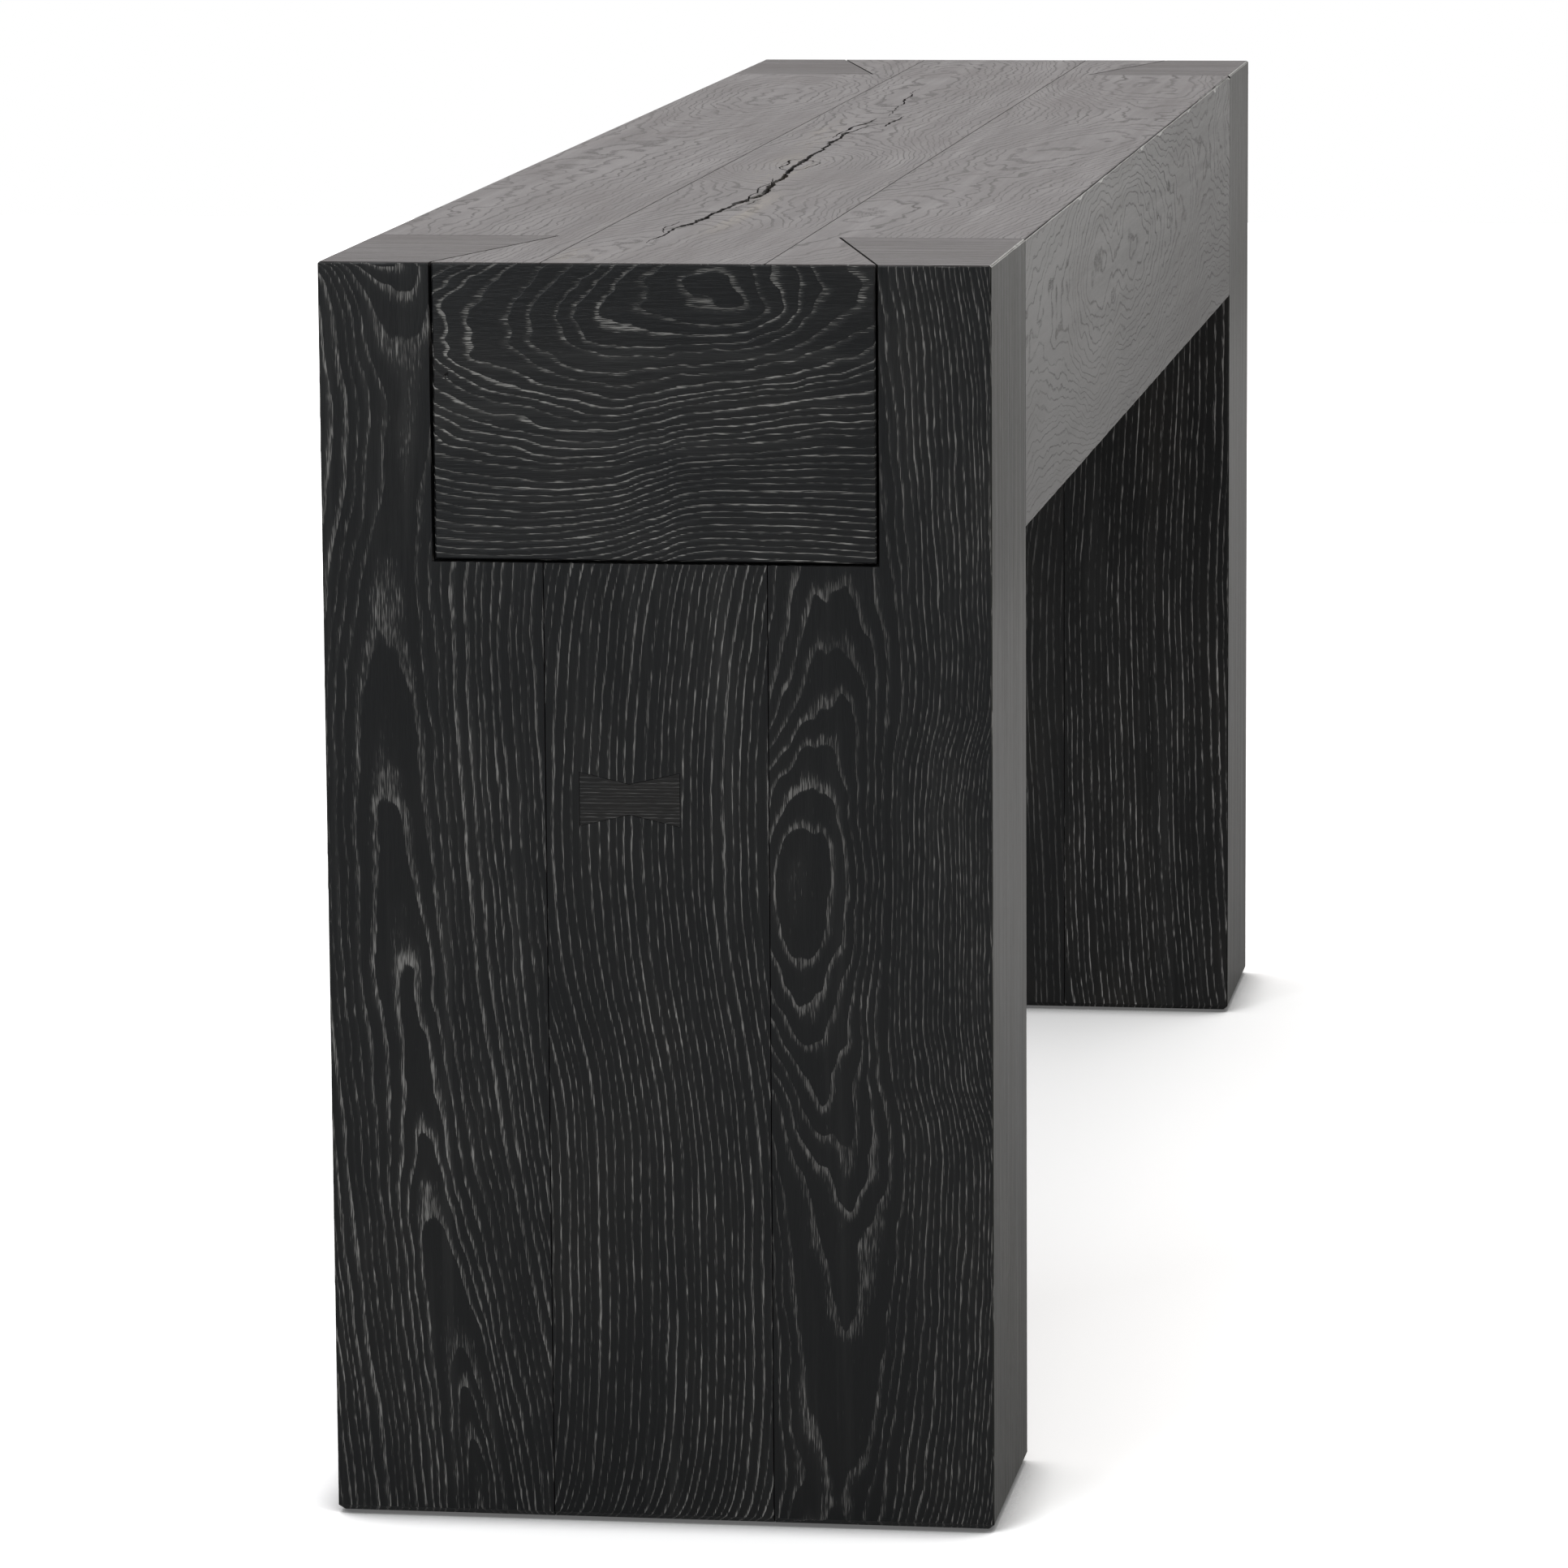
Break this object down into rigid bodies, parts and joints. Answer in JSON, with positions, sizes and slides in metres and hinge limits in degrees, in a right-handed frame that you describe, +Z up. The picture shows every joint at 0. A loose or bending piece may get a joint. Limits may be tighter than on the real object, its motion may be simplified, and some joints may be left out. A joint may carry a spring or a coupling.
{
  "type": "console table",
  "caption": "Thick waterfall-style console table in near-black limed oak, its beam dovetailed down into two broad slab legs.",
  "frame": {"origin": "on the floor, under the middle of the table", "axes": "+X along the table's length, with the leg that carries the butterfly key at -X; +Y to the rear; +Z up"},
  "size_m": [1.8, 0.4, 0.76],
  "materials": {
    "ebonised_oak": "near-black stained oak with grey limed pores, satin",
    "ebonised_key_oak": "near-black stained oak, satin",
    "core_softwood": "bare softwood, unseen",
    "glide_nylon": "matt"
  },
  "bodies": {
    "root": {"apron_front": "ebonised_oak", "apron_rear": "ebonised_oak", "beam_rib_1": "core_softwood", "beam_rib_2": "core_softwood", "beam_rib_3": "core_softwood", "beam_rib_4": "core_softwood", "butterfly_key": "ebonised_key_oak", "left_leg_base": "core_softwood", "left_leg_cap_front": "ebonised_oak", "left_leg_cap_rear": "ebonised_oak", "left_leg_cheek_front": "core_softwood", "left_leg_cheek_rear": "core_softwood", "left_leg_glide_1": "glide_nylon", "left_leg_glide_2": "glide_nylon", "left_leg_glide_3": "glide_nylon", "left_leg_glide_4": "glide_nylon", "left_leg_inner_centre": "ebonised_oak", "left_leg_inner_front": "ebonised_oak", "left_leg_inner_rear": "ebonised_oak", "left_leg_outer_centre": "ebonised_oak", "left_leg_outer_front": "ebonised_oak", "left_leg_outer_rear": "ebonised_oak", "left_leg_rib_1": "core_softwood", "left_leg_rib_2": "core_softwood", "left_leg_side_front": "ebonised_oak", "left_leg_side_rear": "ebonised_oak", "left_leg_socket_floor": "core_softwood", "right_leg_base": "core_softwood", "right_leg_cap_front": "ebonised_oak", "right_leg_cap_rear": "ebonised_oak", "right_leg_cheek_front": "core_softwood", "right_leg_cheek_rear": "core_softwood", "right_leg_glide_1": "glide_nylon", "right_leg_glide_2": "glide_nylon", "right_leg_glide_3": "glide_nylon", "right_leg_glide_4": "glide_nylon", "right_leg_inner_centre": "ebonised_oak", "right_leg_inner_front": "ebonised_oak", "right_leg_inner_rear": "ebonised_oak", "right_leg_outer_centre": "ebonised_oak", "right_leg_outer_front": "ebonised_oak", "right_leg_outer_rear": "ebonised_oak", "right_leg_rib_1": "core_softwood", "right_leg_rib_2": "core_softwood", "right_leg_side_front": "ebonised_oak", "right_leg_side_rear": "ebonised_oak", "right_leg_socket_floor": "core_softwood", "soffit_board_centre": "ebonised_oak", "soffit_board_front": "ebonised_oak", "soffit_board_rear": "ebonised_oak", "tail_cap_left": "ebonised_oak", "tail_cap_right": "ebonised_oak", "tail_core_left": "core_softwood", "tail_core_right": "core_softwood", "top_board_centre": "ebonised_oak", "top_board_front": "ebonised_oak", "top_board_rear": "ebonised_oak"}
  },
  "joints": []
}
